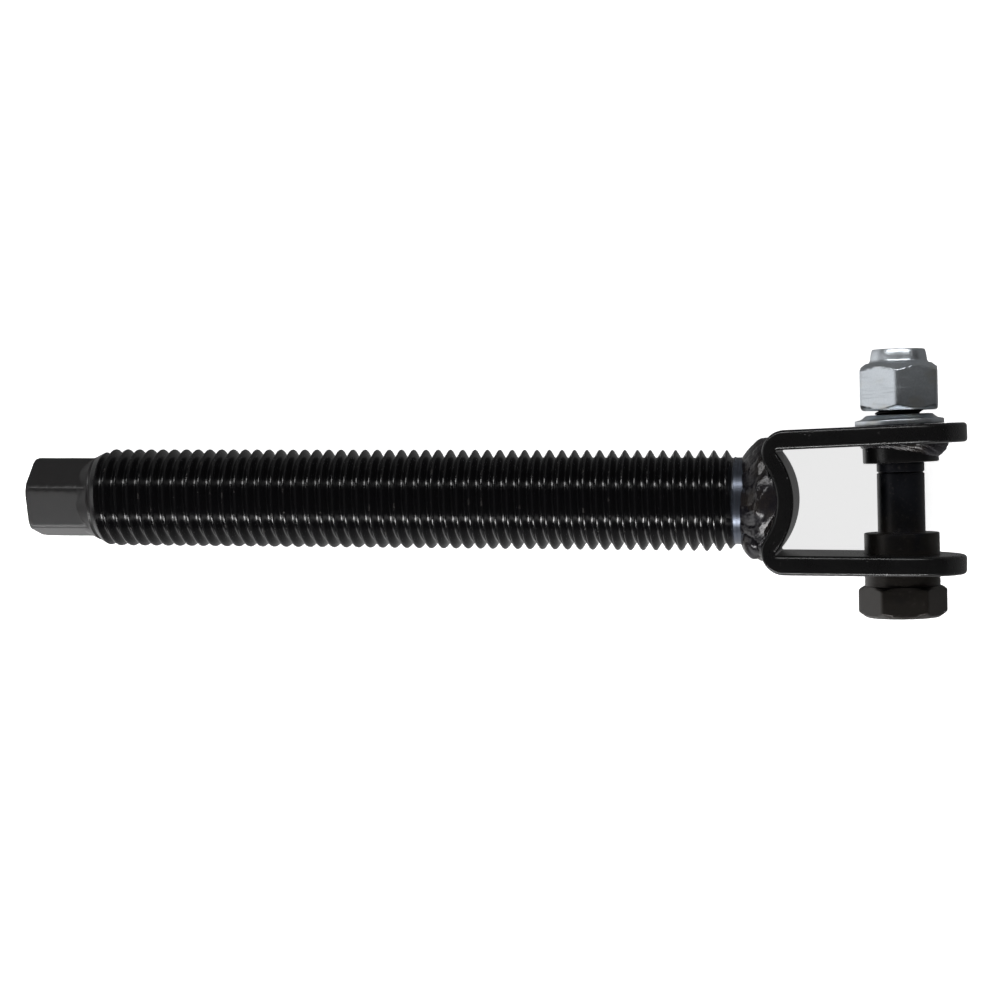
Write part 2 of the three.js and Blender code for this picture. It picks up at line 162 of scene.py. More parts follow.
# %% [markdown]
# ## Cutting threads and flats with Geometry Nodes
#
# A real screw starts as a plain turned bar. A die or a roller then presses the thread into it, and a mill
# cuts the flats. All of those only ever take material towards the axis, so they can be one rule: at each
# point of the bar, the new radius is the smallest of the blank, the thread and the hexagon at that place
# and angle.
#
# A modifier such as Screw would need separate meshes joined by booleans. The node tree below keeps one
# clean skin, and its named inputs do for the big screw, the bolt and the nut alike. The bar always lies
# along +X. A thread's height depends on how far a point lies along the bar, less the share of the turn
# that it stands at.

# %% The cutter's tree
TREE_SIZES = {
    "Pitch": 1.0,
    "Crest Radius": 1.0,
    "Thread Depth": 0.0,
    "Thread Start": 0.0,
    "Thread End": 0.0,
    "Across Flats": 1.0,
    "Hex Start": 0.0,
    "Hex End": 0.0,
    "Corner Angle": 0.0,
    "Cone Start": 0.0,
    "Cone Radius": 0.0,
    "Cone Slope": 0.0,
    "Hammering": 0.0,
}
FLAT_SHARE = 0.11
ROOT_SHARE = 0.16
ROUNDING = 0.22
FAR_OUT = 1000.0


def start_tree(name, shape, sizes, result):
    """A new tree with named inputs. Gives its bench and its inputs by name."""
    tree = bpy.data.node_groups.new(name, "GeometryNodeTree")
    tree.interface.new_socket(shape, in_out="INPUT", socket_type="NodeSocketGeometry")
    for label, default in sizes.items():
        socket = tree.interface.new_socket(label, in_out="INPUT", socket_type="NodeSocketFloat")
        socket.default_value = default
    tree.interface.new_socket("Finish", in_out="INPUT", socket_type="NodeSocketMaterial")
    tree.interface.new_socket(result, in_out="OUTPUT", socket_type="NodeSocketGeometry")
    bench = Bench(tree)
    given = bench.node("NodeGroupInput")
    return bench, {label: given.also(label) for label in [shape, *sizes, "Finish"]}


def end_tree(bench, moved, finish, result):
    """Makes the shape real, gives it its finish and sends it out of the tree."""
    real = bench.node("GeometryNodeRealizeInstances", inputs={"Geometry": moved})
    finished = bench.node("GeometryNodeSetMaterial", inputs={"Geometry": real, "Material": finish})
    bench.node("NodeGroupOutput", inputs={result: finished})
    return bench.tree


def cutter_tree():
    bench, size = start_tree("Cut thread and flats", "Blank", TREE_SIZES, "Cut piece")
    place = bench.node("GeometryNodeInputPosition")
    x = bench.node("ShaderNodeSeparateXYZ", inputs={0: place})
    y = x.also("Y")
    z = x.also("Z")
    radius = (y * y + z * z) ** 0.5
    angle = bench.math("ARCTAN2", z, y)

    turns = (x - size["Thread Start"]) / size["Pitch"] - angle / TAU
    from_crest = bench.math("ABSOLUTE", bench.math("FRACT", turns) * 2 - 1)
    ramp = (1 - from_crest - ROOT_SHARE) / (1 - FLAT_SHARE - ROOT_SHARE)
    topped = bench.math("SMOOTH_MIN", ramp, 1.0, ROUNDING)
    tooth = bench.math("SMOOTH_MAX", topped, 0.0, ROUNDING)
    thread_radius = size["Crest Radius"] - size["Thread Depth"] * (1 - tooth)
    past_start = bench.math("GREATER_THAN", x, size["Thread Start"])
    before_end = bench.math("LESS_THAN", x, size["Thread End"])
    no_thread = (1 - past_start * before_end) * FAR_OUT

    corner = size["Corner Angle"]
    across = bench.math("FLOORED_MODULO", angle - corner, math.pi / 3) - math.pi / 6
    flat_radius = size["Across Flats"] / 2 / bench.math("COSINE", across)
    cone = size["Cone Radius"] + (x - size["Cone Start"]) * size["Cone Slope"]
    dimple = bench.node("ShaderNodeTexNoise", {}, {"Vector": place, "Scale": 0.45, "Detail": 2.0})
    hex_radius = bench.math("MAXIMUM", flat_radius, cone) + (dimple - 0.5) * size["Hammering"]
    past_start = bench.math("GREATER_THAN", x, size["Hex Start"])
    before_end = bench.math("LESS_THAN", x, size["Hex End"])
    no_hex = (1 - past_start * before_end) * FAR_OUT

    cut = bench.math("MINIMUM", thread_radius + no_thread, hex_radius + no_hex)
    share = bench.math("MINIMUM", cut / bench.math("MAXIMUM", radius, 1e-6), 1.0)
    moved = bench.node("ShaderNodeCombineXYZ", inputs={"X": x, "Y": y * share, "Z": z * share})
    pressed = bench.node("GeometryNodeSetPosition", inputs={"Geometry": size["Blank"], "Position": moved})
    return end_tree(bench, pressed, size["Finish"], "Cut piece")


CUTTER = cutter_tree()
print("cutter tree:", len(CUTTER.nodes), "nodes,", len(TREE_SIZES), "sizes")

# %% [markdown]
# ## Turning a blank
#
# The blank is a grid of points: one column for each angle, one row for each station along the bar. Two
# things make the grid fit what is cut into it. The columns crowd at the six corners of a hexagon, so that
# each corner gets a narrow bevel of its own. And where a thread goes, the rows climb with it like the
# stripes on a barber's pole, so that a row runs along the crest all the way instead of crossing it in
# steps.

# %% Blanks
ROWS_PER_PITCH = 16
SLIVER = 0.01
CORNER_BEVEL = math.radians(1.4)
COLUMNS_PER_SIDE = 16


def hex_angles(corner):
    """Column angles once round, crowded at six corners, ending one full turn on."""
    inner = np.linspace(CORNER_BEVEL, math.pi / 3 - CORNER_BEVEL, COLUMNS_PER_SIDE - 1)
    side = np.concatenate([[0.0], inner])
    sides = [corner + k * math.pi / 3 + side for k in range(6)]
    return np.concatenate(sides + [[corner + TAU]])


def round_angles(columns):
    return np.linspace(0.0, TAU, columns + 1)


def grid_mesh(name, points):
    """A closed mesh from columns of points. Points that fall together become one."""
    columns, rows = points.shape[:2]
    index = np.arange(columns * rows).reshape(columns, rows)
    quads = np.stack([index[:-1, :-1], index[1:, :-1], index[1:, 1:], index[:-1, 1:]], -1)
    mesh = bpy.data.meshes.new(name)
    mesh.from_pydata(points.reshape(-1, 3).tolist(), [], quads.reshape(-1, 4).tolist())
    return welded(mesh)


def welded(mesh, distance=1e-4):
    """Merges points closer than that, in the mesh's own unit, and turns every face outwards."""
    work = bmesh.new()
    work.from_mesh(mesh)
    bmesh.ops.remove_doubles(work, verts=work.verts, dist=distance)
    bmesh.ops.dissolve_degenerate(work, edges=work.edges, dist=distance)
    bmesh.ops.recalc_face_normals(work, faces=work.faces)
    open_edges = sum(not edge.is_manifold for edge in work.edges)
    if open_edges:
        print("  open edges in", mesh.name, open_edges)
    work.to_mesh(mesh)
    work.free()
    return mesh


def turned_blank(name, angles, before, thread=None, after=()):
    """A turned bar about +X from [station, radius] profiles. A thread is (start, end, pitch, its profile)."""
    columns = []
    for angle in angles:
        column = [list(point) for point in before]
        if thread:
            start, end, pitch, envelope = thread
            rows = round((end - start) / pitch * ROWS_PER_PITCH) + ROWS_PER_PITCH
            turns = np.arange(rows + 1) / ROWS_PER_PITCH - 1 + (angle - angles[0]) / TAU
            stations = np.clip(start + pitch * turns, start, end)
            sliver = SLIVER * pitch
            stations = np.where(stations - start < sliver, start, stations)
            stations = np.where(end - stations < sliver, end, stations)
            radii = np.interp(stations, *np.transpose(envelope))
            column += np.stack([stations, radii], -1).tolist()
        columns.append(column + [list(point) for point in after])
    grid = np.array(columns)
    turn = np.asarray(angles)[:, None]
    stations, radii = grid[..., 0], grid[..., 1]
    points = np.stack([stations, radii * np.cos(turn), radii * np.sin(turn)], -1)
    return grid_mesh(name, points)


def eased(profile, reach, steps=3):
    """The profile with each inner corner rounded off over that reach, as a file or a tumbler leaves it."""
    corners = [np.array(point, float) for point in profile]
    smooth = [corners[0]]
    for before, here, after in zip(corners, corners[1:], corners[2:]):
        back, ahead = before - here, after - here
        size = min(reach, 0.42 * np.linalg.norm(back), 0.42 * np.linalg.norm(ahead))
        start = here + back / np.linalg.norm(back) * size
        end = here + ahead / np.linalg.norm(ahead) * size
        for share in np.linspace(0, 1, steps + 1):
            smooth.append((1 - share) ** 2 * start + 2 * share * (1 - share) * here + share**2 * end)
    return [list(point) for point in smooth + [corners[-1]]]


def divided(profile, length):
    """The profile with extra points, none further apart than that."""
    points = [profile[0]]
    for start, end in zip(profile, profile[1:]):
        count = max(1, math.ceil(math.dist(start, end) / length))
        points += [[a + (b - a) * k / count for a, b in zip(start, end)] for k in range(1, count + 1)]
    return points


print("columns round a hexagon:", len(hex_angles(0.0)) - 1)

# %% [markdown]
# ## From blank to finished piece
#
# Each piece is cut by the tree, moved to its place and then fixed: its modifier is applied, its points are
# put in metres, and its object stays at the origin, unturned. Edges steeper than a set angle stay crisp,
# and the rest is shaded smooth, which is how a machined part catches light.

# %% Finishing helpers
def worked(blank, tree, finish, sizes):
    """The blank after that tree, as a plain mesh with its finish."""
    work = bpy.data.objects.new(blank.name, blank)
    bpy.context.scene.collection.objects.link(work)
    modifier = work.modifiers.new("Work", "NODES")
    modifier.node_group = tree
    sockets = {item.name: item.identifier for item in tree.interface.items_tree if item.in_out == "INPUT"}
    for name, value in sizes.items():
        modifier[sockets[name]] = float(value)
    modifier[sockets["Finish"]] = finish
    evaluated = work.evaluated_get(bpy.context.evaluated_depsgraph_get())
    mesh = bpy.data.meshes.new_from_object(evaluated)
    bpy.data.objects.remove(work)
    return mesh


def placed(name, mesh, place, finish, body, nodes, crisp=32.0):
    """Puts a mesh made in millimetres in its place, as a piece that stands for those nodes."""
    mesh.transform(Matrix.Scale(MM, 4) @ place)
    mesh.name = name
    if not mesh.materials:
        mesh.materials.append(finish)
    mesh.shade_smooth()
    mesh.set_sharp_from_angle(angle=math.radians(crisp))
    piece = bpy.data.objects.new(name, mesh)
    bpy.context.scene.collection.objects.link(piece)
    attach(piece, body)
    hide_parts(*nodes)
    points = np.array([vertex.co for vertex in mesh.vertices])
    model = np.array([[list(corner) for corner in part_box(node)] for node in nodes])
    below = (points.min(0) - model[:, 0].min(0)) / MM
    above = (points.max(0) - model[:, 1].max(0)) / MM
    triangles = sum(len(face.vertices) - 2 for face in mesh.polygons)
    print(f"{name}: {triangles} triangles, off the model by", np.round(below, 2), np.round(above, 2))


# The +X of a blank becomes +Y, and the hardware leans with the open ear.
BOLT_X = 222.4
BOLT_LEAN = math.radians(1.4)
EAR_SPLAY = math.radians(2.6)
EAR_SPOT = (222.0014, 16.3095, 0.0)
ON_THE_BOLT = Matrix.Translation((BOLT_X, 0, 0)) @ Matrix.Rotation(math.pi / 2 + BOLT_LEAN, 4, "Z")
ON_THE_EAR = Matrix.Translation(EAR_SPOT) @ Matrix.Rotation(math.pi / 2 + EAR_SPLAY, 4, "Z")
print("leaning, degrees: bolt", round(math.degrees(BOLT_LEAN), 1), "ear", round(math.degrees(EAR_SPLAY), 1))

# %% [markdown]
# ## Finishes
#
# Five finishes cover the part. The screw is dipped in glossy black paint, except that its hex drive is
# worn to a satin grey and its turned neck shows bluish steel. The yoke has plain black paint with a slight
# orange peel. The welds carry the same paint over a rougher, browner skin. The bolt is black oxide on
# machined steel, so it is dark but metallic, and the nut and washer are bright zinc.
#
# Flat colours would look like plastic. Each finish mixes its colour, gloss and bump from noise that reads
# Object coordinates, so a pattern stays on the metal whatever moves, and its scale is set in millimetres.

# %% A bench for finishes
class Finish(Bench):
    """Builds one material."""

    def __init__(self, name):
        self.material = bpy.data.materials.new(name)
        self.material.use_nodes = True
        super().__init__(self.material.node_tree)
        self.tree.nodes.clear()
        metres = self.node("ShaderNodeTexCoord", output=3)
        self.place = self.node("ShaderNodeVectorMath", {"operation": "SCALE"}, {0: metres, "Scale": 1 / MM})
        self.x = self.node("ShaderNodeSeparateXYZ", inputs={0: self.place})
        self.y = self.x.also("Y")
        self.z = self.x.also("Z")

    def noise(self, size, detail=2.0, seed=0.0, place=None):
        """Noise from 0 to 1 whose lumps are about that many millimetres across."""
        settings = {"noise_dimensions": "4D"}
        inputs = {"Vector": place or self.place, "W": seed, "Scale": 1 / size, "Detail": detail}
        return self.node("ShaderNodeTexNoise", settings, inputs)

    def stretched(self, x=1.0, y=1.0, z=1.0):
        """The place with each axis squeezed, so that noise on it runs out into streaks."""
        return self.node("ShaderNodeVectorMath", {"operation": "MULTIPLY"}, {0: self.place, 1: (x, y, z)})

    def blend(self, share, first, second):
        """A colour between two colours."""
        inputs = {0: share, 6: first, 7: second}
        return self.node("ShaderNodeMix", {"data_type": "RGBA"}, inputs, output=2)

    def bump(self, height, depth, strength=1.0):
        """Height from 0 to 1 stands that many millimetres high."""
        inputs = {"Height": height, "Distance": depth * MM, "Strength": strength}
        return self.node("ShaderNodeBump", inputs=inputs)

    def shade(self, **sockets):
        inputs = {name.replace("_", " "): value for name, value in sockets.items()}
        shader = self.node("ShaderNodeBsdfPrincipled", inputs=inputs)
        self.node("ShaderNodeOutputMaterial", inputs={"Surface": shader})
        return self.material


def colour(red, green, blue):
    return (red, green, blue, 1.0)


print("finish bench ready")

# %% [markdown]
# ### Black screw
#
# Paint pools in the thread's roots and thins on its crests. The hex drive has been held by spanners, so its
# paint is rubbed to satin. The neck was turned after the thread, which leaves fine rings round it.

# %% Black screw finish
HEX_EDGE = 16.0
THREAD_EDGE = 21.0
NECK_EDGE = 182.4


def black_screw():
    finish = Finish("black_screw")
    radius = (finish.y * finish.y + finish.z * finish.z) ** 0.5
    thread = finish.step(finish.x, HEX_EDGE, THREAD_EDGE)
    neck = finish.step(finish.x, NECK_EDGE - 0.8, NECK_EDGE)
    hex_end = 1 - thread
    cloud = finish.noise(6.0, 3.0, 1.0)
    speckle = finish.noise(0.35, 2.0, 2.0)
    scuff = finish.step(finish.noise(2.2, 4.0, 3.0), 0.56, 0.7)
    rings = finish.noise(1.0, 2.0, 4.0, finish.stretched(4.0, 0.15, 0.15))
    crest = finish.step(radius, 12.2, 12.6)
    painted = finish.blend(crest * scuff * 0.8, colour(0.0032, 0.0031, 0.0036), colour(0.018, 0.016, 0.015))
    rubbed = finish.blend(cloud, colour(0.0055, 0.0051, 0.0054), colour(0.009, 0.0081, 0.0084))
    bar = finish.blend(thread, rubbed, painted)
    steel = finish.blend(rings, colour(0.030, 0.034, 0.044), colour(0.13, 0.145, 0.18))
    gloss = 0.13 + cloud * 0.08 + scuff * crest * 0.25
    satin = 0.36 + speckle * 0.12
    roughness = gloss * thread + satin * hex_end
    height = finish.noise(0.7, 2.0, 5.0) * 0.5 + speckle * (0.2 + hex_end * 0.5) + rings * neck
    return finish.shade(
        Base_Color=finish.blend(neck, bar, steel),
        Metallic=neck * 0.85,
        Roughness=roughness * (1 - neck) + neck * 0.3,
        Normal=finish.bump(height, 0.035, 0.8),
    )


BLACK_SCREW = black_screw()
print("black_screw:", len(BLACK_SCREW.node_tree.nodes), "nodes")

# %% [markdown]
# ### Black paint
#
# The yoke was painted over a rolled and sheared surface. The paint has a fine orange peel, a few pits where
# scale fell off, and slow changes of gloss.

# %% Black paint finish
def black_paint():
    finish = Finish("black_paint")
    cloud = finish.noise(9.0, 3.0, 11.0)
    peel = finish.noise(0.55, 2.0, 12.0)
    grain = finish.noise(0.22, 1.0, 13.0)
    cell = finish.node("ShaderNodeTexVoronoi", {}, {"Vector": finish.place, "Scale": 0.8, "Randomness": 1.0})
    pitted = finish.step(finish.noise(5.0, 2.0, 14.0), 0.5, 0.62)
    pit = (1 - finish.step(cell, 0.0, 0.32)) * pitted
    return finish.shade(
        Base_Color=finish.blend(cloud, colour(0.0014, 0.0013, 0.0015), colour(0.0028, 0.0026, 0.0027)),
        Roughness=0.20 + cloud * 0.10 + peel * 0.08,
        Normal=finish.bump(peel * 0.7 + grain * 0.3 - pit * 1.4, 0.06, 0.9),
    )


BLACK_PAINT = black_paint()
print("black_paint:", len(BLACK_PAINT.node_tree.nodes), "nodes")

# %% [markdown]
# ### Painted weld
#
# Paint doesn't hide a weld. Its skin keeps a brown and purple tint where the metal was hot, with fine grit
# from spatter between the ripples. The ripples themselves are real shape and are made further down.

# %% Painted weld finish
def painted_weld():
    finish = Finish("painted_weld")
    heat = finish.step(finish.noise(4.5, 3.0, 21.0), 0.42, 0.7)
    grit = finish.noise(0.4, 3.0, 22.0)
    skin = finish.noise(1.3, 2.0, 23.0)
    return finish.shade(
        Base_Color=finish.blend(heat, colour(0.0085, 0.0076, 0.010), colour(0.020, 0.0165, 0.0150)),
        Roughness=0.13 + skin * 0.14 + grit * 0.05,
        Metallic=0.25,
        Normal=finish.bump(grit * 0.25 + skin * 0.75, 0.13, 0.9),
    )


PAINTED_WELD = painted_weld()
print("painted_weld:", len(PAINTED_WELD.node_tree.nodes), "nodes")

# %% [markdown]
# ### Black oxide
#
# Black oxide is a thin dark skin on bare steel, so the shape of the cutting marks stays. On the turned shank
# they are fine rings, and the head is smoother. The colour drifts between blue-black and brown.

# %% Black oxide finish
def black_oxide():
    finish = Finish("black_oxide")
    rings = finish.noise(1.0, 3.0, 31.0, finish.stretched(0.12, 5.0, 0.12))
    drift = finish.step(finish.noise(7.0, 3.0, 32.0) + finish.y * -0.012 - 0.06, 0.36, 0.66)
    dust = finish.step(finish.noise(0.8, 4.0, 33.0), 0.55, 0.75)
    turned = finish.step(finish.y, -20.6, -20.2)
    tint = finish.blend(drift, colour(0.006, 0.0065, 0.0095), colour(0.017, 0.0145, 0.0125))
    return finish.shade(
        Base_Color=finish.blend(dust * 0.35, tint, colour(0.045, 0.040, 0.036)),
        Metallic=0.6,
        Roughness=0.34 + dust * 0.16 + rings * 0.06,
        Normal=finish.bump(rings * turned + finish.noise(0.3, 2.0, 34.0) * 0.5, 0.03, 0.9),
    )


BLACK_OXIDE = black_oxide()
print("black_oxide:", len(BLACK_OXIDE.node_tree.nodes), "nodes")

# %% [markdown]
# ### Zinc plate
#
# Clear zinc is a bright, slightly blue metal. Tumbling in the barrel leaves a fine dull mottle and thin
# scratches, and the passivation shows straw and violet in thin patches.

# %% Zinc plate finish
def zinc_plate():
    finish = Finish("zinc_plate")
    mottle = finish.noise(0.5, 3.0, 41.0)
    patch = finish.step(finish.noise(5.0, 2.0, 42.0), 0.5, 0.72)
    scratch = finish.step(finish.noise(1.0, 3.0, 43.0, finish.stretched(0.25, 3.5, 0.25)), 0.52, 0.7)
    plated = finish.blend(mottle, colour(0.50, 0.54, 0.58), colour(0.70, 0.74, 0.78))
    return finish.shade(
        Base_Color=finish.blend(patch * 0.35, plated, colour(0.50, 0.46, 0.36)),
        Metallic=1.0,
        Roughness=0.27 + mottle * 0.12 + scratch * 0.08,
        Normal=finish.bump(mottle * 0.5 + scratch * 0.4, 0.02, 0.8),
    )


ZINC_PLATE = zinc_plate()
print("zinc_plate:", len(ZINC_PLATE.node_tree.nodes), "nodes")

# %% [markdown]
# ## Adjusting screw
#
# One bar, 193 mm long: a three-quarter inch hex drive, a one inch thread with eight turns to the inch, and
# a plain neck that goes into the weld. The blank is turned with a cone between the drive and the thread,
# and the flats run out along that cone, which is what leaves the light bevel there.

# %% Make the screw
DRIVE_AF = 18.6
DRIVE_CORNER = math.radians(16)
DRIVE_CORNER_RADIUS = DRIVE_AF / math.sqrt(3)
CORNER_WEAR = 0.12
SCREW_RADIUS = 12.55
SCREW_PITCH = 3.175
SCREW_DEPTH = 1.95
CONE_START = 13.2
CONE_RADIUS = 9.1
THREAD_FULL = 20.3
THREAD_END = 182.2
NECK_RADIUS = 10.75
NECK_END = 193.4
CONE_SLOPE = (SCREW_RADIUS - CONE_RADIUS) / (THREAD_FULL - CONE_START)

worn_corner = DRIVE_CORNER_RADIUS - CORNER_WEAR
drive_profile = [[0, 0], [0, DRIVE_CORNER_RADIUS - 0.5], [1.1, worn_corner], [CONE_START, worn_corner]]
drive_end = eased(drive_profile, 0.3)
cone_meets_corner = CONE_START + (worn_corner - CONE_RADIUS) / CONE_SLOPE
screw_envelope = [
    [CONE_START, worn_corner],
    [cone_meets_corner, worn_corner],
    [THREAD_FULL, SCREW_RADIUS],
    [THREAD_END - 1.6, SCREW_RADIUS],
    [THREAD_END, NECK_RADIUS],
]
screw_blank = turned_blank(
    "screw_blank",
    hex_angles(DRIVE_CORNER),
    divided(drive_end, 0.5),
    (CONE_START, THREAD_END, SCREW_PITCH, screw_envelope),
    divided([[THREAD_END, NECK_RADIUS], [NECK_END, NECK_RADIUS]], 1.5) + [[NECK_END, 0]],
)
screw_sizes = {
    "Pitch": SCREW_PITCH,
    "Crest Radius": SCREW_RADIUS,
    "Thread Depth": SCREW_DEPTH,
    "Thread Start": CONE_START,
    "Thread End": THREAD_END,
    "Across Flats": DRIVE_AF,
    "Hex Start": -1,
    "Hex End": THREAD_FULL,
    "Corner Angle": DRIVE_CORNER,
    "Cone Start": CONE_START,
    "Cone Radius": CONE_RADIUS,
    "Cone Slope": CONE_SLOPE,
    "Hammering": 0.05,
}
screw_mesh = worked(screw_blank, CUTTER, BLACK_SCREW, screw_sizes)

# %% [markdown]
# Spanner jaws have bitten the corner of the drive that faces up. Each bite is a small dent, so points near it
# are pressed towards the axis by a bell-shaped amount.

# %% Press the spanner marks
BITTEN_CORNER = DRIVE_CORNER + math.pi / 3
BITES = [
    (3.2, 0.5, 0.2),
    (6.1, 0.5, 0.18),
    (8.8, 0.45, 0.2),
    (11.6, 0.55, 0.22),
    (12.7, 0.4, 0.16),
    (13.9, 0.5, 0.2),
]


def press(mesh, centre, size, depth):
    """Presses a dent of that size and depth towards the +X axis."""
    places = np.zeros(len(mesh.vertices) * 3)
    mesh.vertices.foreach_get("co", places)
    places = places.reshape(-1, 3)
    near = np.exp(-((places - centre) ** 2).sum(1) / size**2)
    radius = np.linalg.norm(places[:, 1:], axis=1)
    places[:, 1:] *= (1 - near * depth / np.maximum(radius, 1e-6))[:, None]
    mesh.vertices.foreach_set("co", places.reshape(-1))


for station, size, depth in BITES:
    centre = (station, worn_corner * math.cos(BITTEN_CORNER), worn_corner * math.sin(BITTEN_CORNER))
    press(screw_mesh, np.array(centre), size, depth)
placed("screw", screw_mesh, Matrix(), BLACK_SCREW, "clevis_end", ["adjusting_screw"])

# %% [markdown]
# ## Clevis yoke
#
# The yoke starts as a flat bar with round ends, punched with two holes, and is then bent to a U whose back
# bows inwards. Modelling the bent shape directly would mean awkward surfaces at the bends. It is simpler
# to do what the press does: make the flat blank as a mesh, with its edges already rounded, then bend every
# point. A point of the blank has a distance along the bar, a distance across it, and a height from the
# middle of its thickness.

# %% The flat blank's sizes
BAR_HALF = 4.76 / 2
BAR_SIDE = 31.75 / 2
EAR_TIP = 238.275
BACK_CENTRE = (177.8, 0.0)
BACK_OUTER = 15.2
BACK_INNER = 19.3
BEND_CENTRE = (195.0, 11.8)
BEND_OUTER = 5.66
EAR_LIFT = 0.9
INNER_CORNER = 0.4
BEND_ANGLE = math.atan2(BEND_CENTRE[1], BEND_CENTRE[0] - BACK_CENTRE[0])
SHOULDER_HOLE = 9.4
BOLT_HOLE = 6.5
BAR_ROUNDING = 0.9
HOLE_ROUNDING = 0.3
BOW = 3.0
EAR_LENGTH = EAR_TIP - BEND_CENTRE[0] - BOW
LEG_LENGTHS = [EAR_LENGTH, 3.9, 7.5, 22.0, 7.5, 3.9, EAR_LENGTH]
LEG_ENDS = np.cumsum(LEG_LENGTHS).tolist()
BAR_LENGTH = LEG_ENDS[-1]
UPPER_HOLE_REACH = (EAR_SPOT[0] - BEND_CENTRE[0]) * math.cos(EAR_SPLAY)
UPPER_HOLE_REACH += (EAR_SPOT[1] - BEND_CENTRE[1]) * math.sin(EAR_SPLAY)
LOWER_HOLE_AT = EAR_TIP - (BOLT_X + 15.08 * math.tan(BOLT_LEAN))
UPPER_HOLE_AT = EAR_LENGTH + BOW - UPPER_HOLE_REACH
print("flat bar, mm:", round(BAR_LENGTH, 1), "holes at", round(LOWER_HOLE_AT, 2), round(UPPER_HOLE_AT, 2))

# %% [markdown]
# Pressing leaves a large radius outside each bend and a sharp corner inside it, and it thins the back. So the
# outer skin and the inner skin each get a path of their own, in seven legs: ear, run-in, bend, back, bend,
# run-in and ear. A point between the skins lies between the two paths, by its share of the thickness.

# %% Paths of the two skins
def on_ear(splay, way, along, out):
    """A point of an ear, from its bend's centre: along it and outwards. Way is 1 for the upper ear."""
    x = BEND_CENTRE[0] + along * math.cos(splay) - out * math.sin(splay)
    y = BEND_CENTRE[1] + along * math.sin(splay) + out * math.cos(splay)
    return (x, way * y)


def corner_place(splay, way):
    """Centre of an inside corner, which touches the back's arc and the ear's inner face."""
    reach = BEND_CENTRE[0] - BACK_CENTRE[0]
    along = reach * math.cos(splay) + BEND_CENTRE[1] * math.sin(splay)
    height = BEND_CENTRE[1] * math.cos(splay) - reach * math.sin(splay)
    out = EAR_LIFT - INNER_CORNER
    back_off = math.sqrt((BACK_INNER + INNER_CORNER) ** 2 - (height + out) ** 2) - along
    return on_ear(splay, way, back_off, out)


def line(start, end):
    return lambda share: tuple(a + (b - a) * share for a, b in zip(start, end))


def arc(centre, radius, start, end):
    def point(share):
        turn = start + (end - start) * share
        return (centre[0] + radius * math.cos(turn), centre[1] + radius * math.sin(turn))

    return point


def skin_path(out, bend_centres, bend_radius, back_radius):
    """Seven legs of one skin. The bend centres are for the lower and the upper side."""
    lower, upper = bend_centres
    lower_angle = math.atan2(-lower[1], lower[0] - BACK_CENTRE[0])
    upper_angle = math.atan2(upper[1], upper[0] - BACK_CENTRE[0])
    normal = math.pi / 2 + EAR_SPLAY
    lower_bend = arc(lower, bend_radius, 1.5 * math.pi, math.pi - lower_angle)
    upper_bend = arc(upper, bend_radius, math.pi + upper_angle, normal)
    lower_root = on_ear(0.0, -1, BOW, out)
    upper_root = on_ear(EAR_SPLAY, 1, BOW, out)
    return [
        line(on_ear(0.0, -1, BOW + EAR_LENGTH, out), lower_root),
        line(lower_root, lower_bend(0)),
        lower_bend,
        arc(BACK_CENTRE, back_radius, -lower_angle, upper_angle),
        upper_bend,
        line(upper_bend(1), upper_root),
        line(upper_root, on_ear(EAR_SPLAY, 1, BOW + EAR_LENGTH, out)),
    ]


BEND_CENTRES = [(BEND_CENTRE[0], -BEND_CENTRE[1]), BEND_CENTRE]
OUTER_PATH = skin_path(BEND_OUTER, BEND_CENTRES, BEND_OUTER, BACK_OUTER)
CORNER_CENTRES = [corner_place(0.0, -1), corner_place(EAR_SPLAY, 1)]
INNER_PATH = skin_path(EAR_LIFT, CORNER_CENTRES, INNER_CORNER, BACK_INNER)


def bent(along, across, height):
    """Where a point of the flat bar goes. Height is towards the outside of the U."""
    leg = min(int(np.searchsorted(LEG_ENDS, along)), len(LEG_ENDS) - 1)
    share = (along - LEG_ENDS[leg]) / LEG_LENGTHS[leg] + 1
    outer = OUTER_PATH[leg](share)
    inner = INNER_PATH[leg](share)
    weight = height / (2 * BAR_HALF) + 0.5
    return tuple(i + (o - i) * weight for i, o in zip(inner, outer)) + (across,)


print("ear tips:", [np.round(bent(end, 0, 0), 2).tolist() for end in (0, BAR_LENGTH)])

# %% [markdown]
# The blank is built from three patches that share their border points: two ears, whose points run from the
# hole out to the rounded end, and the strip between them, which is a rounded rectangle swept along. Where
# the bends come, the strip has many more stations.

# %% Patches of the blank
ROUND_STEPS = 5
BACK_LINE = 16.5
ACROSS_STEPS = 20
SIDE_STEPS = 8
TIP_STEPS = 40
RING_STEPS = 6


def edge_rounding(size):
    """How far in and how high each step of a rounded edge lies, from the upper face to the lower one."""
    quarter = [k * math.pi / 2 / ROUND_STEPS for k in range(ROUND_STEPS + 1)]
    upper = [(size * (1 - math.sin(turn)), BAR_HALF - size * (1 - math.cos(turn))) for turn in quarter]
    return upper + [(inset, -height) for inset, height in reversed(upper)]


def strip_section():
    """The bar's outline across and in height, once round."""
    rounding = edge_rounding(BAR_ROUNDING)
    flat = np.linspace(-(BAR_SIDE - BAR_ROUNDING), BAR_SIDE - BAR_ROUNDING, ACROSS_STEPS + 1)
    upper = [(side, BAR_HALF) for side in flat]
    right = [(BAR_SIDE - inset, height) for inset, height in rounding[1:-1]]
    lower = [(side, -BAR_HALF) for side in reversed(flat)]
    left = [(inset - BAR_SIDE, height) for inset, height in reversed(rounding[1:-1])]
    return upper + right + lower + left + upper[:1]


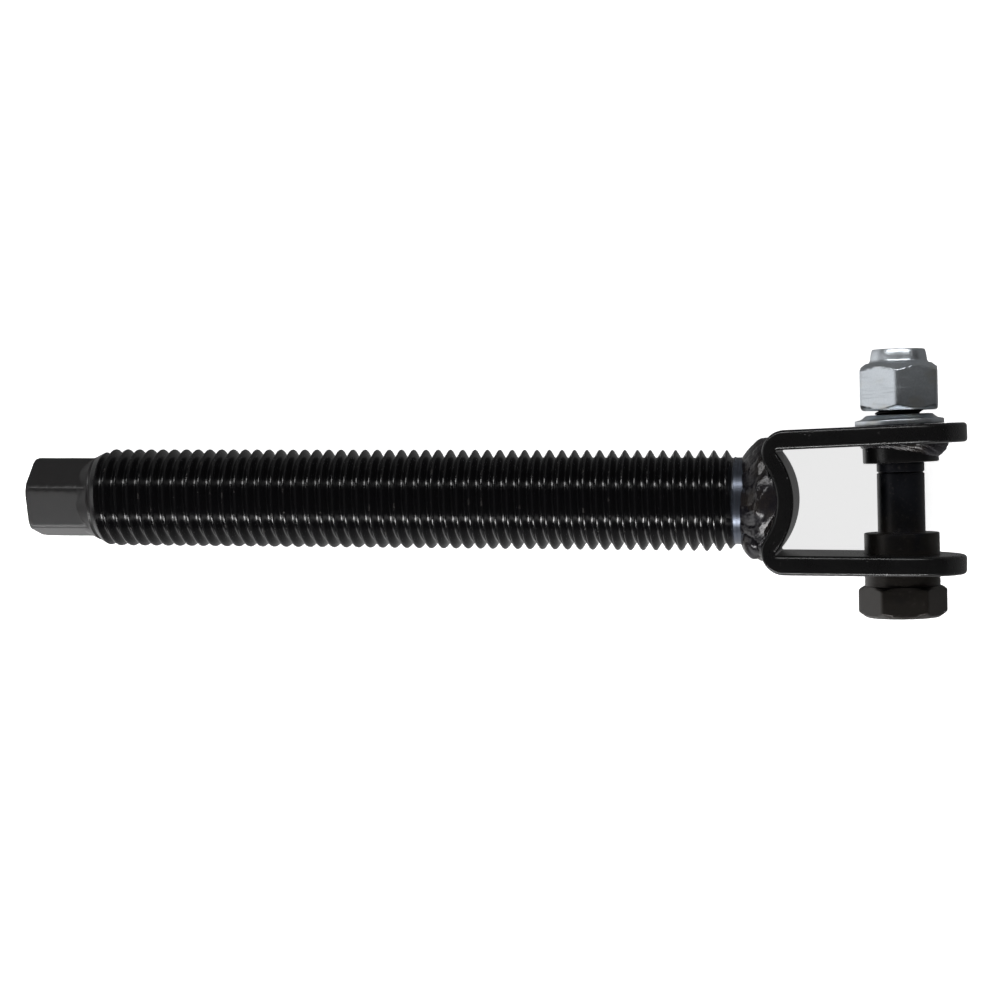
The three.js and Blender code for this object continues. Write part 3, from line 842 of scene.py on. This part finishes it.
def strip_stations():
    first = BAR_SIDE + BACK_LINE
    marks = [first] + LEG_ENDS[:-1] + [BAR_LENGTH - first]
    counts = [7, 6, 33, 41, 33, 6, 7]
    parts = [np.linspace(start, end, count) for start, end, count in zip(marks, marks[1:], counts)]
    return np.concatenate(parts)


def ear_border():
    """Points round an ear, seen from the middle of its rounded end, with the way outwards at each."""
    flat = np.linspace(-(BAR_SIDE - BAR_ROUNDING), BAR_SIDE - BAR_ROUNDING, ACROSS_STEPS + 1)
    inner = BAR_SIDE - BAR_ROUNDING
    border = [((-BACK_LINE, side), None) for side in flat]
    border += [((-BACK_LINE * (1 - k / SIDE_STEPS), inner), (0, 1)) for k in range(SIDE_STEPS)]
    for k in range(TIP_STEPS + 1):
        turn = math.pi / 2 - math.pi * k / TIP_STEPS
        border.append(((inner * math.cos(turn), inner * math.sin(turn)), (math.cos(turn), math.sin(turn))))
    border += [((-BACK_LINE * k / SIDE_STEPS, -inner), (0, -1)) for k in range(1, SIDE_STEPS + 1)]
    return border


def ear_patches(hole_along, hole_radius):
    """The ear's grids of points: both faces, the outer edge and the hole's wall."""
    border = ear_border()
    hole = []
    for (along, across), _ in border:
        turn = math.atan2(across, along - hole_along)
        hole.append((math.cos(turn), math.sin(turn)))
    rim = hole_radius + HOLE_ROUNDING
    grids = []
    for height in (BAR_HALF, -BAR_HALF):
        face = []
        for ((along, across), _), (c, s) in zip(border, hole):
            inner = (hole_along + rim * c, rim * s)
            shares = [k / RING_STEPS for k in range(RING_STEPS + 1)]
            ring = [(inner[0] + (along - inner[0]) * u, inner[1] + (across - inner[1]) * u) for u in shares]
            face.append([(*point, height) for point in ring])
        grids.append(face)
    edge = []
    for (along, across), (way_along, way_across) in border[ACROSS_STEPS + 1:]:
        steps = [(BAR_ROUNDING - inset, height) for inset, height in edge_rounding(BAR_ROUNDING)]
        edge.append([(along + way_along * out, across + way_across * out, height) for out, height in steps])
    grids.append(edge)
    wall = []
    for c, s in hole:
        steps = [(hole_radius + inset, height) for inset, height in edge_rounding(HOLE_ROUNDING)]
        wall.append([(hole_along + radius * c, radius * s, height) for radius, height in steps])
    grids.append(wall)
    return grids


# %% Assemble and bend the bar
def bar_grids():
    section = strip_section()
    grids = [[[(station, side, height) for side, height in section] for station in strip_stations()]]
    ears = [(1, LOWER_HOLE_AT, SHOULDER_HOLE), (-1, UPPER_HOLE_AT, BOLT_HOLE)]
    for way, hole_at, radius in ears:
        for grid in ear_patches(BAR_SIDE - hole_at, radius):
            tip = [[(BAR_SIDE - along, across, height) for along, across, height in row] for row in grid]
            if way < 0:
                tip = [[(BAR_LENGTH - along, across, height) for along, across, height in row] for row in tip]
            grids.append(tip)
    return grids


def bent_bar():
    work = bmesh.new()
    for grid in bar_grids():
        rows = [[work.verts.new(bent(*point)) for point in row] for row in grid]
        closed = len(grid) == len(ear_border())
        pairs = list(zip(rows, rows[1:]))
        if closed:
            pairs.append((rows[-1], rows[0]))
        for one, other in pairs:
            for k in range(len(one) - 1):
                work.faces.new((one[k], other[k], other[k + 1], one[k + 1]))
    mesh = bpy.data.meshes.new("yoke")
    work.to_mesh(mesh)
    work.free()
    return welded(mesh, 2e-3)


placed("yoke", bent_bar(), Matrix(), BLACK_PAINT, "clevis_end", ["clevis_yoke"], 40.0)

# %% [markdown]
# ## Welds
#
# A weld bead is laid round a joint as a row of overlapping puddles. Each puddle freezes with a curved rim,
# so the bead shows ripples that follow the torch. This is a pattern that repeats along a path, so a node
# tree makes it: it takes a plain bead that lies round the +X axis and lifts its skin by a ripple, whose
# phase depends on the angle and leans with the distance across the bead. Finer ripples and noise are
# added, from a fixed seed.

# %% The ripple tree
RIPPLE_SIZES = {
    "Puddles": 16.0,
    "Start Turn": 0.0,
    "Height": 0.4,
    "Lean": 1.2,
    "Curl": 0.8,
    "Fine Height": 0.06,
    "Lump Size": 2.5,
    "Lump Height": 0.3,
    "Seed": 1.0,
    "Bead Middle": 0.0,
    "Bead Half Width": 1.0,
}


def ripple_tree():
    bench, size = start_tree("Lay weld ripples", "Bead", RIPPLE_SIZES, "Rippled bead")
    place = bench.node("GeometryNodeInputPosition")
    x = bench.node("ShaderNodeSeparateXYZ", inputs={0: place})
    angle = bench.math("ARCTAN2", x.also("Z"), x.also("Y"))
    across = (x - size["Bead Middle"]) / size["Bead Half Width"]
    inside = bench.math("MAXIMUM", 1 - across * across, 0.0) ** 0.5
    settings = {"noise_dimensions": "4D"}
    coarse = {"Vector": place, "W": size["Seed"], "Scale": 1 / size["Lump Size"], "Detail": 2.0}
    lump = bench.node("ShaderNodeTexNoise", settings, coarse) - 0.5

    lag = size["Lean"] * across + size["Curl"] * across * across
    turn = (angle / TAU) * size["Puddles"] + size["Start Turn"]
    phase = bench.math("FRACT", turn + lag + lump * 0.5 + 16)
    front = phase ** 0.55
    puddle = front * (1 - front) * 4
    fine = bench.math("SINE", (turn + lag) * (5 * TAU)) * size["Fine Height"]
    lift = (puddle * size["Height"] + fine) * inside + lump * size["Lump Height"] * (inside + 0.15)
    normal = bench.node("GeometryNodeInputNormal")
    offset = bench.node("ShaderNodeVectorMath", {"operation": "SCALE"}, {0: normal, "Scale": lift})
    lifted = bench.node("GeometryNodeSetPosition", inputs={"Geometry": size["Bead"], "Offset": offset})
    return end_tree(bench, lifted, size["Finish"], "Rippled bead")


RIPPLER = ripple_tree()
print("ripple tree:", len(RIPPLER.nodes), "nodes")

# %% [markdown]
# ### Neck weld
#
# The bead fills the corner between the neck and the bowed back of the yoke. Its own section is a rough
# cone, a little fatter in some places, and its far side runs into the yoke's back wherever that is at each
# angle. Inside, it sinks into both pieces a little, so no crack shows where the two were fused.

# %% Make the neck weld
BEAD_START = 184.6
BEAD_PROFILE = [[-0.8, 10.2], [0.0, 11.1], [1.6, 12.6], [3.6, 14.3], [5.8, 15.2], [12.0, 15.3]]
BEAD_CORE = 9.6
BEAD_LIMIT = 15.8
BEAD_ROWS = 44
BEAD_COLUMNS = 300
NECK_LOBES = [
    (1.75, 0.55, 190.0, 0.5),
    (0.75, 0.35, 187.2, 0.45),
    (2.55, 0.3, 188.5, 0.4),
    (4.4, 0.5, 189.0, 0.5),
]


def back_station(side):
    """Where the yoke's outer skin lies along +X at that distance from its middle."""
    side = abs(side)
    if side < BACK_OUTER * math.sin(BEND_ANGLE):
        return BACK_CENTRE[0] + math.sqrt(BACK_OUTER**2 - side**2)
    return BEND_CENTRE[0] - math.sqrt(BEND_OUTER**2 - (side - BEND_CENTRE[1]) ** 2)


def neck_bead():
    columns = []
    for angle in round_angles(BEAD_COLUMNS):
        lobe = 0.3 * math.sin(5 * (math.pi / 2 - angle) + 0.6) + 0.2 * math.sin(8 * angle + 2)
        start = BEAD_START + 0.4 * math.sin(3 * (math.pi / 2 - angle))
        end = back_station(15.3 * math.cos(angle)) + 0.8
        column = [(start - 0.8, BEAD_CORE)]
        for share in np.linspace(0, 1, BEAD_ROWS):
            station = start - 0.8 + (end - start + 0.8) * share
            radius = np.interp(station - start, *np.transpose(BEAD_PROFILE)) + lobe * min(1, share * 4)
            for middle, spread, along, lift in NECK_LOBES:
                off = (angle - middle + math.pi) % TAU - math.pi
                radius += lift * math.exp(-((off / spread) ** 2) - ((station - along) / 2.6) ** 2)
            column.append((station, radius))
        columns.append(column + [(end, BEAD_CORE), column[0]])
    return ring_mesh("neck_bead", columns, round_angles(BEAD_COLUMNS))


def ring_mesh(name, columns, angles):
    """A ring about +X from one closed section, a list of [station, radius], for each angle."""
    grid = np.array(columns)
    turn = np.asarray(angles)[:, None]
    stations, radii = grid[..., 0], grid[..., 1]
    return grid_mesh(name, np.stack([stations, radii * np.cos(turn), radii * np.sin(turn)], -1))


neck_sizes = {
    "Puddles": 16,
    "Start Turn": 0.2,
    "Height": 0.52,
    "Lean": 1.2,
    "Curl": 0.8,
    "Fine Height": 0.05,
    "Lump Size": 2.4,
    "Lump Height": 0.5,
    "Seed": 3,
    "Bead Middle": 189.0,
    "Bead Half Width": 5.2,
}
neck_mesh = worked(neck_bead(), RIPPLER, PAINTED_WELD, neck_sizes)
for point in neck_mesh.vertices:
    reach = math.hypot(point.co.y, point.co.z)
    if reach > BEAD_LIMIT - 0.6:
        kept = BEAD_LIMIT - 0.6 * math.exp((BEAD_LIMIT - 0.6 - reach) / 0.6)
        point.co.y *= kept / reach
        point.co.z *= kept / reach
placed("neck_bead", neck_mesh, Matrix(), PAINTED_WELD, "clevis_end", ["neck_weld"], 60.0)

# %% [markdown]
# ### The end of the bead
#
# Where the welder stopped, the last puddle stands up as a separate round lump beside the bead. A ball of
# subdivided faces, stretched and roughened, is enough for it.

# %% Make the last puddle
LUMP_CENTRE = (187.2, -9.6, 6.4)
LUMP_HALF = (3.1, 4.6, 5.0)


def last_puddle():
    work = bmesh.new()
    bmesh.ops.create_icosphere(work, subdivisions=5, radius=1.0)
    for point in work.verts:
        uneven = 1 + 0.05 * math.sin(3 * point.co.y + 1) + 0.035 * math.sin(7 * point.co.z + 4 * point.co.x)
        point.co = Vector([c + h * v * uneven for c, h, v in zip(LUMP_CENTRE, LUMP_HALF, point.co)])
    mesh = bpy.data.meshes.new("last_puddle")
    work.to_mesh(mesh)
    work.free()
    return mesh


placed(
    "last_puddle",
    last_puddle(),
    Matrix(),
    PAINTED_WELD,
    "clevis_end",
    ["neck_weld_lump"],
    60.0,
)

# %% [markdown]
# ### Ring under the upper ear
#
# A short turned ring is welded to the inside of the upper ear, to bear on the part that the clevis holds. Its
# weld is a fillet, heavy on the ear's tip side and thin on the other.

# %% Make the ring and its weld
RING_RADIUS = 9.15
RING_BOTTOM = -6.78
RING_TOP = -2.2
RING_PROFILE = [
    [RING_TOP, BOLT_HOLE],
    [RING_BOTTOM, BOLT_HOLE],
    [RING_BOTTOM, RING_RADIUS],
    [RING_TOP, RING_RADIUS],
    [RING_TOP, BOLT_HOLE],
]


def turned_ring(name, profile, columns=160, ease=0.3, longest=0.8):
    """A turned ring about +X from a closed section that begins and ends on a straight side."""
    section = divided(eased(profile, ease), longest)
    angles = round_angles(columns)
    return ring_mesh(name, [section] * len(angles), angles)


placed(
    "ear_ring",
    turned_ring("ear_ring", RING_PROFILE, ease=0.45),
    ON_THE_EAR,
    BLACK_PAINT,
    "clevis_end",
    ["ear_boss"],
)


def ear_fillet():
    columns = []
    angles = round_angles(240)
    for angle in angles:
        share = (0.5 + 0.5 * math.sin(angle - math.pi / 2 + 0.26)) ** 3
        reach = 0.25 + 1.95 * share + 0.1 * share * math.sin(7 * angle)
        rise = 0.3 + 2.8 * share + 0.1 * share * math.sin(5 * angle + 1)
        seat = -2.3
        root = RING_RADIUS - 0.35
        outline = [[seat, root], [seat - 0.1 - rise, root]]
        for k in range(17):
            u = k / 16
            out = RING_RADIUS + (reach + 0.1) * (1 - (1 - u) ** 1.25)
            outline.append([seat - 0.1 - rise * (1 - u**1.2) + 0.1 * u, out])
        columns.append(outline + [[seat, root]])
    return ring_mesh("ear_fillet", columns, angles)


fillet_sizes = {
    "Puddles": 15,
    "Start Turn": 0.3,
    "Height": 0.3,
    "Lean": 1.3,
    "Curl": 0.6,
    "Fine Height": 0.06,
    "Lump Size": 1.6,
    "Lump Height": 0.35,
    "Seed": 8,
    "Bead Middle": -3.7,
    "Bead Half Width": 2.0,
}
fillet_mesh = worked(ear_fillet(), RIPPLER, PAINTED_WELD, fillet_sizes)
placed(
    "ear_fillet",
    fillet_mesh,
    ON_THE_EAR,
    PAINTED_WELD,
    "clevis_end",
    ["ear_boss_weld"],
    60.0,
)

# %% [markdown]
# ## Shoulder bolt
#
# The bolt is one turned bar again: hex head, thick shoulder, thinner shank, rolled thread. It goes through
# the same cutter as the screw, then leans 1.4 degrees with the ear.

# %% Make the bolt
HEAD_AF = 18.7
HEAD_CORNER_RADIUS = HEAD_AF / math.sqrt(3)
HEAD_CORNER = math.radians(123)
HEAD_BOTTOM = -28.2
HEAD_TOP = -20.5
SHOULDER_RADIUS = 9.1
SHOULDER_TOP = -7.5
SHANK_RADIUS = 5.75
BOLT_THREAD_RADIUS = 5.95
BOLT_PITCH = 1.75
BOLT_DEPTH = 1.07
BOLT_THREAD_START = 10.2
GROOVE = (7.0, 7.4)
GROOVE_DEPTH = 0.35
BOLT_TOP = 35.6

head_side = HEAD_CORNER_RADIUS - 0.1
root_radius = BOLT_THREAD_RADIUS - BOLT_DEPTH
head_profile = [
    [HEAD_BOTTOM, 0],
    [HEAD_BOTTOM, HEAD_CORNER_RADIUS - 2.1],
    [HEAD_BOTTOM + 1.4, head_side],
    [HEAD_TOP - 0.8, head_side],
    [HEAD_TOP, HEAD_CORNER_RADIUS - 1.3],
    [HEAD_TOP, SHOULDER_RADIUS],
    [SHOULDER_TOP, SHOULDER_RADIUS],
    [SHOULDER_TOP, SHANK_RADIUS],
    [GROOVE[0], SHANK_RADIUS],
    [GROOVE[0], SHANK_RADIUS - GROOVE_DEPTH],
    [GROOVE[1], SHANK_RADIUS - GROOVE_DEPTH],
    [GROOVE[1], SHANK_RADIUS],
    [BOLT_THREAD_START - 0.7, SHANK_RADIUS],
    [BOLT_THREAD_START, root_radius + 0.2],
]
bolt_envelope = [
    [BOLT_THREAD_START, root_radius + 0.2],
    [BOLT_THREAD_START + 0.8, BOLT_THREAD_RADIUS],
    [BOLT_TOP - 1.4, BOLT_THREAD_RADIUS],
    [BOLT_TOP, root_radius - 0.3],
]
bolt_blank = turned_blank(
    "bolt_blank",
    hex_angles(HEAD_CORNER),
    divided(eased(head_profile, 0.35), 1.2),
    (BOLT_THREAD_START, BOLT_TOP, BOLT_PITCH, bolt_envelope),
    [[BOLT_TOP, 0]],
)
bolt_sizes = {
    "Pitch": BOLT_PITCH,
    "Crest Radius": BOLT_THREAD_RADIUS,
    "Thread Depth": BOLT_DEPTH,
    "Thread Start": BOLT_THREAD_START,
    "Thread End": BOLT_TOP,
    "Across Flats": HEAD_AF,
    "Hex Start": HEAD_BOTTOM - 1,
    "Hex End": HEAD_TOP + 0.01,
    "Corner Angle": HEAD_CORNER,
    "Cone Slope": 0,
}
bolt_mesh = worked(bolt_blank, CUTTER, BLACK_OXIDE, bolt_sizes)
placed("bolt", bolt_mesh, ON_THE_BOLT, BLACK_OXIDE, "cross_bolt", ["shoulder_bolt"])

# %% [markdown]
# ## Lock nut and conical washer
#
# The nut is turned and bored first and then has its hexagon, so the cutter takes it as a ring. Its
# chamfers meet the flats in arcs, as on any nut. The collar on top is squeezed after plating, which is
# what grips the thread.

# %% Make the nut
NUT_AF = 18.4
NUT_CORNER_RADIUS = NUT_AF / math.sqrt(3)
NUT_CORNER = math.radians(88)
BORE_START = 28.0
NUT_BOTTOM = 22.3
NUT_HEX_TOP = 33.8
NUT_TOP = 37.2
NUT_BORE = 6.25
nut_side = NUT_CORNER_RADIUS - 0.1
nut_profile = [
    [BORE_START, NUT_BORE],
    [NUT_BOTTOM + 0.8, NUT_BORE],
    [NUT_BOTTOM, NUT_BORE + 0.8],
    [NUT_BOTTOM, NUT_CORNER_RADIUS - 1.9],
    [NUT_BOTTOM + 1.2, nut_side],
    [NUT_HEX_TOP - 1.9, nut_side],
    [NUT_HEX_TOP, NUT_CORNER_RADIUS - 2.7],
    [NUT_HEX_TOP, 7.3],
    [NUT_HEX_TOP + 0.6, 6.9],
    [NUT_TOP - 1.6, 6.75],
    [NUT_TOP - 0.8, 6.58],
    [NUT_TOP - 0.25, 6.38],
    [NUT_TOP, 6.24],
    [NUT_TOP - 0.15, 6.12],
    [NUT_TOP - 0.9, 6.12],
    [NUT_TOP - 1.4, NUT_BORE],
    [BORE_START, NUT_BORE],
]
nut_section = divided(eased(nut_profile, 0.25), 0.8)
nut_angles = hex_angles(NUT_CORNER)
nut_blank = ring_mesh("nut_blank", [nut_section] * len(nut_angles), nut_angles)
nut_sizes = {
    "Across Flats": NUT_AF,
    "Hex Start": NUT_BOTTOM - 1,
    "Hex End": NUT_HEX_TOP + 0.01,
    "Corner Angle": NUT_CORNER,
    "Thread Start": 500,
    "Thread End": 500,
    "Pitch": 1,
    "Cone Slope": 0,
}
nut_mesh = worked(nut_blank, CUTTER, ZINC_PLATE, nut_sizes)
placed("nut", nut_mesh, ON_THE_BOLT, ZINC_PLATE, "nut", ["lock_nut"])

# %% Make the washer
SEAT = 2.68
WASHER_RADIUS = 10.75
WASHER_PROFILE = [
    [SEAT + 1.6, BOLT_HOLE],
    [SEAT + 0.9, BOLT_HOLE],
    [SEAT - 0.2, WASHER_RADIUS - 0.9],
    [SEAT - 0.2, WASHER_RADIUS],
    [SEAT + 1.0, WASHER_RADIUS],
    [SEAT + 1.3, WASHER_RADIUS - 1.5],
    [SEAT + 2.3, WASHER_RADIUS - 2.8],
    [SEAT + 2.3, BOLT_HOLE],
    [SEAT + 1.6, BOLT_HOLE],
]
placed(
    "washer",
    turned_ring("washer", WASHER_PROFILE, ease=0.2),
    ON_THE_EAR,
    ZINC_PLATE,
    "washer",
    ["conical_washer"],
)

# %% [markdown]
# ## Floor, light and camera
#
# The part lies on a pale table on its side. It touches at the thread's first full crest and at the yoke's
# lower edge, which stands out further, so the table is drawn tilted by that small angle under the part.
# Two long narrow soft lights lie along the screw, one to each side, because gloss on a round bar shows a
# light as a thin line. A big soft light from the drive's side brightens the zinc flats that face it. The
# table lights the part but isn't mirrored in it. What the upright walls mirror instead is the world under
# the horizon, which is brighter towards the drive and the bolt's head and dim on the other sides.

# %% Table
TOUCH_X = 190.0
TABLE_SLOPE = (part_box("clevis_yoke")[0][2] / MM + SCREW_RADIUS) / (TOUCH_X - THREAD_FULL)
TABLE_SIZE = 12.0


def table_height(x):
    return (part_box("clevis_yoke")[0][2] / MM + (x - TOUCH_X) * TABLE_SLOPE) * MM


def pale_table():
    finish = Finish("pale_table")
    cloud = finish.noise(60.0, 3.0, 51.0)
    return finish.shade(
        Base_Color=finish.blend(cloud, colour(0.86, 0.86, 0.86), colour(0.9, 0.9, 0.9)),
        Roughness=0.85,
        Emission_Color=colour(1, 1, 1),
        Emission_Strength=0.8,
    )


def make_table():
    corners = [(x * TABLE_SIZE, y * TABLE_SIZE) for x, y in [(-1, -1), (1, -1), (1, 1), (-1, 1)]]
    mesh = bpy.data.meshes.new("table")
    mesh.from_pydata([(x, y, table_height(x / MM)) for x, y in corners], [], [(0, 1, 2, 3)])
    mesh.materials.append(pale_table())
    table = bpy.data.objects.new("table", mesh)
    bpy.context.scene.collection.objects.link(table)
    table.visible_glossy = False


make_table()
print("table tilts", round(math.degrees(math.atan(TABLE_SLOPE)), 2), "degrees")

# %% Lights
MIDDLE = (CAD_BOX[0] + CAD_BOX[1]) / 2


def soft_light(name, away, along, width, watts):
    """An area light at that offset from the part's middle, facing it, with its long side along +X."""
    lamp = bpy.data.lights.new(name, "AREA")
    lamp.shape = "RECTANGLE"
    lamp.size = along
    lamp.size_y = width
    lamp.energy = watts
    holder = bpy.data.objects.new(name, lamp)
    bpy.context.scene.collection.objects.link(holder)
    forward = -Vector(away).normalized()
    side = Vector((1, 0, 0)) if abs(forward.x) < 0.7 else Vector((0, 1, 0))
    up = side.cross(forward).normalized()
    turn = Matrix((up.cross(-forward), up, -forward)).transposed().to_4x4()
    holder.matrix_world = Matrix.Translation(MIDDLE + Vector(away)) @ turn
    holder.visible_camera = False


def strip_place(angle, distance):
    """A place over the part, that many degrees from straight up towards +Y."""
    turn = math.radians(angle)
    return (0, distance * math.sin(turn), distance * math.cos(turn))


soft_light("strip_above", strip_place(46, 0.9), 1.6, 0.11, 6.5)
soft_light("strip_below", strip_place(-56, 0.9), 1.6, 0.12, 14)
soft_light("drive_side", (-1.0, 0.0, 0.45), 0.6, 0.6, 1.4)
soft_light("ear_side", (1.1, 0.1, 0.5), 0.5, 0.5, 0.03)

world = bpy.data.worlds.new("studio")
bpy.context.scene.world = world
world.use_nodes = True
world.node_tree.nodes.clear()
sky = Bench(world.node_tree)
seen = sky.node("ShaderNodeLightPath")
way_x = sky.node("ShaderNodeSeparateXYZ", inputs={0: sky.node("ShaderNodeTexCoord")})
way_y = way_x.also("Y")
below = 1 - sky.step(way_x.also("Z"), -0.05, 0.05)
glow = sky.math("MAXIMUM", 0.2 - way_x * 0.95 - way_y * 0.95, 0.13)
strength = 0.035 + seen * 0.83 + below * glow
backdrop = sky.node("ShaderNodeBackground", inputs={"Color": colour(1, 1, 1), "Strength": strength})
sky.node("ShaderNodeOutputWorld", inputs={"Surface": backdrop})
bpy.context.scene.view_settings.view_transform = "Standard"

# %% [markdown]
# The camera stands over the clevis end and looks a little back towards the drive, so the yoke is seen nearly
# square on while the screw runs away from it. Holding +Y upwards in the frame keeps the camera level.

# %% Camera
CAMERA_PLACE = Vector((0.2239, 0.0165, 0.5457))
CAMERA_TARGET = Vector((0.1228, -0.00015, 0.0))
CAMERA_LENS = 79.2


def make_camera():
    lens = bpy.data.cameras.new("camera")
    lens.lens = CAMERA_LENS
    lens.sensor_width = 36.0
    lens.clip_start = 0.01
    lens.clip_end = 30.0
    camera = bpy.data.objects.new("camera", lens)
    bpy.context.scene.collection.objects.link(camera)
    ahead = (CAMERA_TARGET - CAMERA_PLACE).normalized()
    right = ahead.cross(Vector((0, 1, 0))).normalized()
    up = right.cross(ahead)
    turn = Matrix((right, up, -ahead)).transposed().to_4x4()
    camera.matrix_world = Matrix.Translation(CAMERA_PLACE) @ turn
    bpy.context.scene.camera = camera


make_camera()
